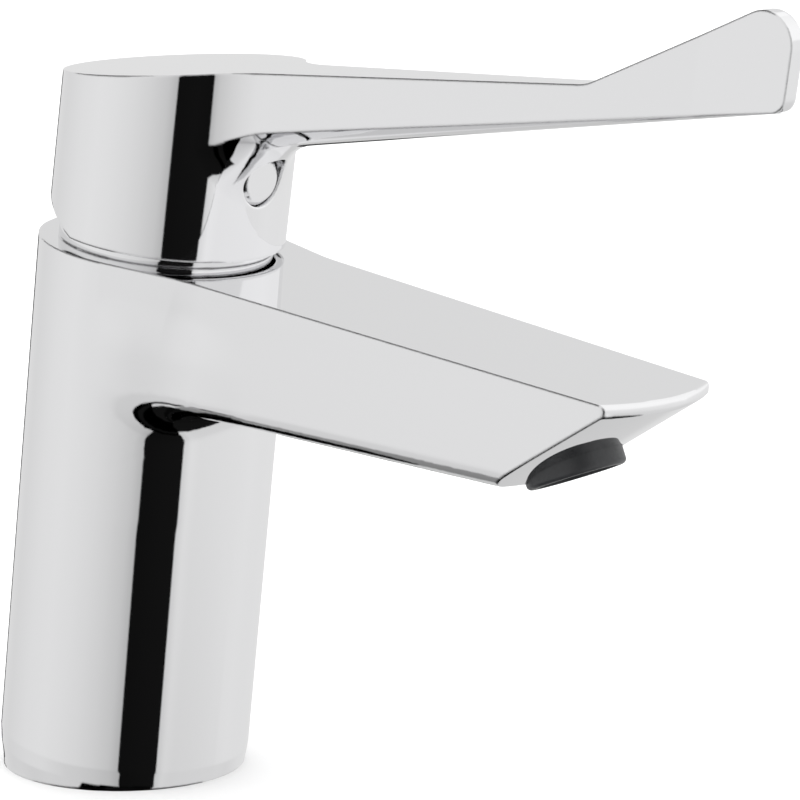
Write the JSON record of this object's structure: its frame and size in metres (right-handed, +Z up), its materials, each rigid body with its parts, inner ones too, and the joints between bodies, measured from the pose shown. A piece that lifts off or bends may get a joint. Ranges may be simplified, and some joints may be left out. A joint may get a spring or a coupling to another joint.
{
  "type": "basin mixer tap",
  "caption": "Single lever basin mixer tap with a leaning round body, tapering spout with an aerator, and a long elbow lever ending in an upright blade.",
  "frame": {"origin": "centre of the round foot, on the basin surface", "axes": "+X forward under the spout, +Z up, +Y to the left hand of someone behind the tap who looks along the spout"},
  "size_m": [0.1811, 0.048, 0.156],
  "materials": {
    "plated_brass": "mirror polished plating",
    "plated_zinc": "mirror polished plating",
    "bare_brass": "machined",
    "bright_steel": "machined",
    "black_rubber": "matt",
    "pale_plastic": "moulded",
    "dark_plastic": "moulded",
    "red_plastic": "moulded",
    "plug_plastic": "moulded, glossy",
    "collar_plastic": "moulded, fine satin",
    "white_ceramic": "lapped"
  },
  "bodies": {
    "tap_body": {"body_casting": "plated_brass", "foot_seal": "black_rubber", "cartridge_nut": "bare_brass", "neck_shroud": "plated_brass", "cartridge_housing": "pale_plastic", "housing_seal": "black_rubber", "cartridge_base": "pale_plastic", "base_seals": "black_rubber", "disc_seals": "black_rubber", "fixed_disc": "white_ceramic", "aerator_housing": "collar_plastic", "aerator_core": "pale_plastic", "aerator_mesh": "bright_steel", "flow_regulator": "black_rubber", "aerator_washer": "black_rubber"},
    "turret": {"cartridge_rotor": "dark_plastic", "pivot_pin": "bright_steel", "limit_ring": "red_plastic"},
    "disc_slider": {"moving_disc": "white_ceramic", "disc_carrier": "dark_plastic"},
    "handle": {"handle_lever": "plated_zinc", "lever_stem": "bare_brass", "grub_screw": "bright_steel", "hole_plug": "plug_plastic"}
  },
  "joints": [
    {"name": "handle_turn", "type": "hinge", "parent": "tap_body", "child": "turret", "pos_m": [0.0131, 0, 0.10297], "axis": [0.1262, 0, 0.992], "range_deg": [-50, 50]},
    {"name": "handle_lift", "type": "hinge", "parent": "turret", "child": "handle", "pos_m": [0.0131, 0, 0.10297], "axis": [0, -1, 0], "range_deg": [0, 25]},
    {"name": "disc_slide", "type": "slide", "parent": "turret", "child": "disc_slider", "axis": [0.992, 0, -0.1262], "range_m": [0, 0.0066]}
  ],
  "couplings": [
    {"joint": "disc_slide", "follows": "handle_lift", "m_per_rad": 0.015}
  ]
}
